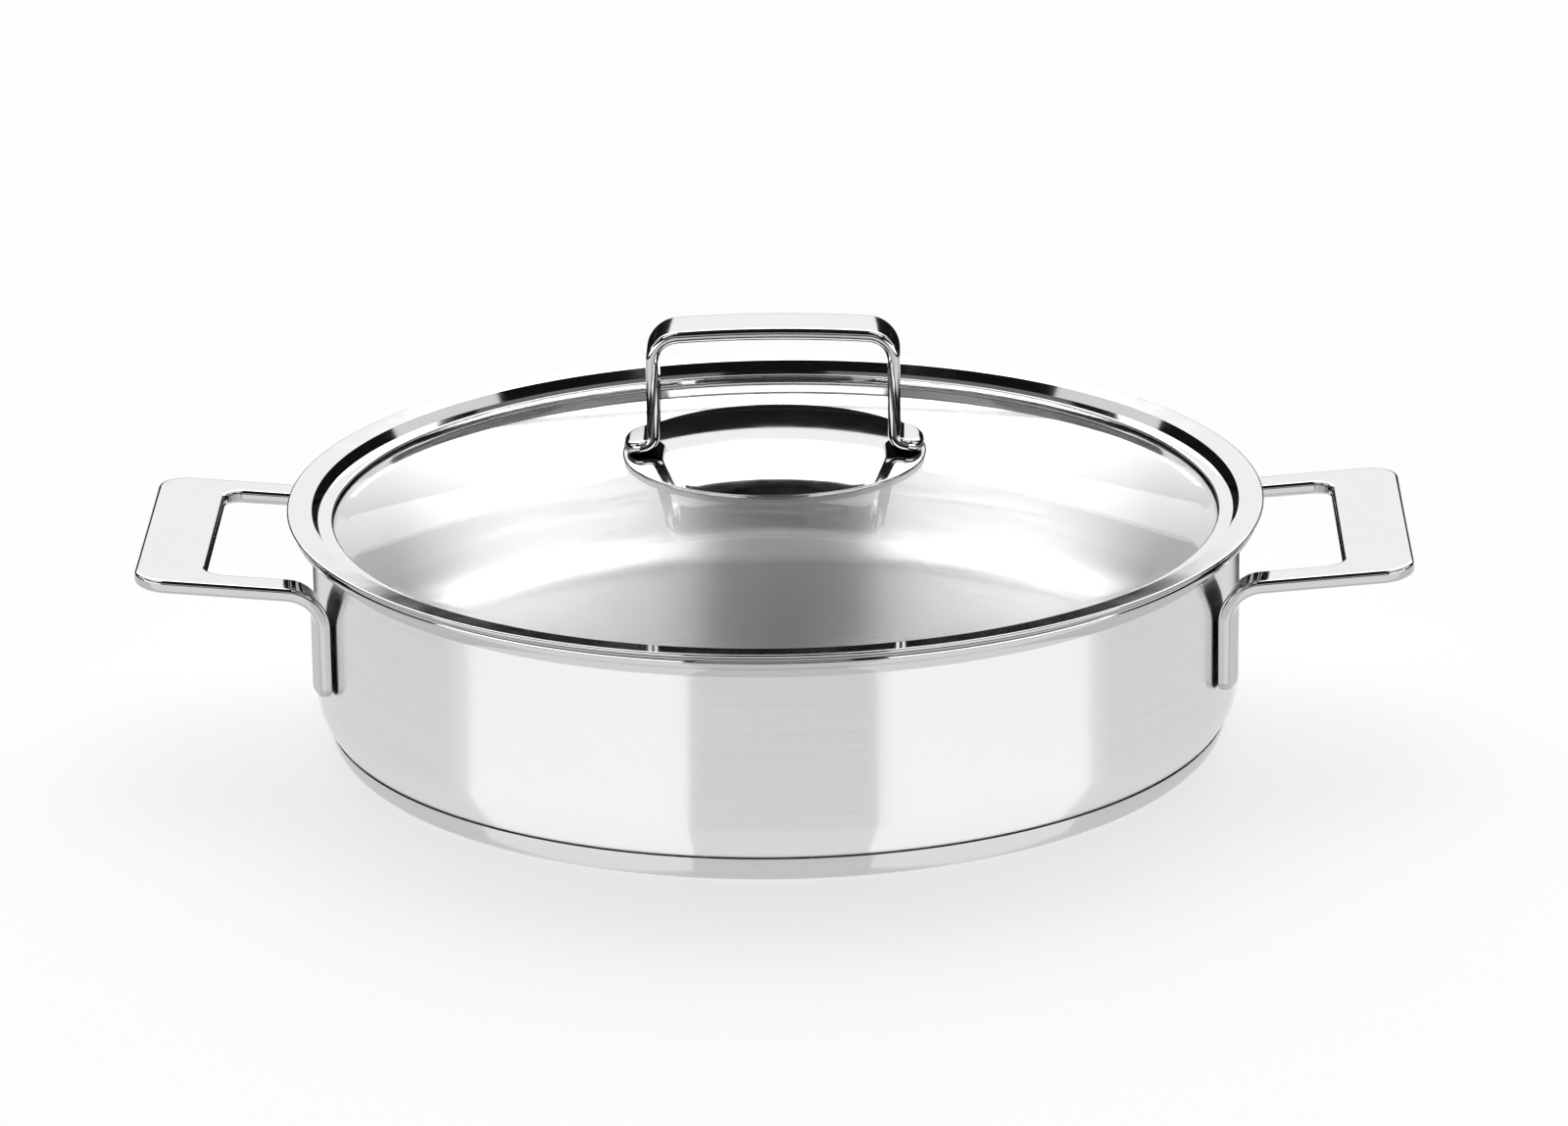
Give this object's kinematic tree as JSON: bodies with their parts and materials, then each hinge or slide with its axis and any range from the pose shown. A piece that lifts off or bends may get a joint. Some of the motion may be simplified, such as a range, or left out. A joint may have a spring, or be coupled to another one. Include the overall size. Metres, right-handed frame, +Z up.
{
  "type": "shallow pot with lid",
  "caption": "Shallow round polished steel cooking pot with bent plate side handles, an encapsulated base and a domed glass lid with a steel ring and an arched strap handle.",
  "frame": {"origin": "on the table under the pot's axis, at the middle of the base cap's flat underside", "axes": "+Z up along the pot's axis, +X towards the right side handle, +Y away from the viewer of the picture"},
  "size_m": [0.3834, 0.2966, 0.1307],
  "materials": {
    "polished_steel": "polished",
    "base_steel": "satin",
    "base_aluminium": "rolled",
    "clear_glass": "clear",
    "fixing_steel": "satin",
    "silicone": "matte"
  },
  "bodies": {
    "pot": {"pot_body": "polished_steel", "base_core": "base_aluminium", "base_cap": "base_steel", "side_handle_left": "polished_steel", "side_handle_right": "polished_steel"},
    "lid": {"lid_ring": "polished_steel", "lid_glass": "clear_glass", "lid_rosette": "polished_steel", "lid_handle": "polished_steel", "handle_boss": "fixing_steel", "upper_gasket": "silicone", "hole_grommet": "silicone", "lower_gasket": "silicone", "steel_washer": "fixing_steel", "lid_screw": "fixing_steel"}
  },
  "joints": [
    {"name": "lid_lift", "type": "slide", "parent": "pot", "child": "lid", "axis": [0, 0, 1], "range_m": [0, 0.15]}
  ]
}
